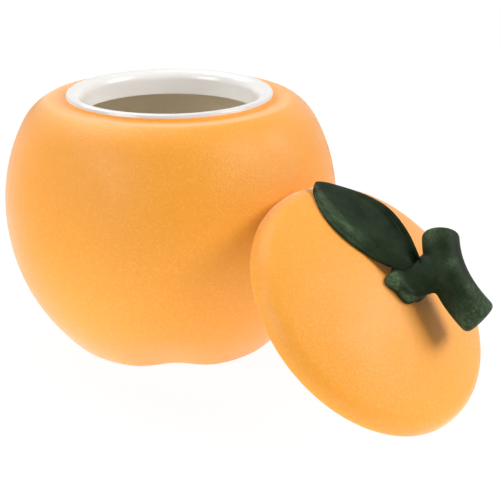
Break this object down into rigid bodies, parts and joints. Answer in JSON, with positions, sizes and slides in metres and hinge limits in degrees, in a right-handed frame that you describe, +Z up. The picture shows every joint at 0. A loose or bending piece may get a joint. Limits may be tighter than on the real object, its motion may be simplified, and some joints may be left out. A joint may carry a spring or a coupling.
{
  "type": "tea canister",
  "caption": "Fruit-shaped ceramic tea canister: a round jar with a wide mouth and a domed lid with a silicone seal and a knob made of a calyx, a twig and a leaf.",
  "frame": {"origin": "centre of the jar's flat base, on the surface that the canister stands on", "axes": "+Z up along the jar's axis, out of its mouth; the picture looks along +Y; the lid leans on the jar towards +X and -Y"},
  "size_m": [0.1367, 0.1373, 0.0774],
  "materials": {
    "orange_glaze": "fine-grained satin glaze",
    "green_glaze": "satin glaze, worn paler on the high spots",
    "silicone": "matte, translucent white"
  },
  "bodies": {
    "jar": {"jar_body": "orange_glaze"},
    "lid_with_knob": {"lid": "orange_glaze", "seal_ring": "silicone", "calyx": "green_glaze", "twig": "green_glaze", "leaf": "green_glaze"}
  },
  "joints": [
    {"name": "lid_lift", "type": "slide", "parent": "jar", "child": "lid_with_knob", "axis": [0.5068, -0.5139, 0.6921], "range_m": [0, 0.15]}
  ]
}
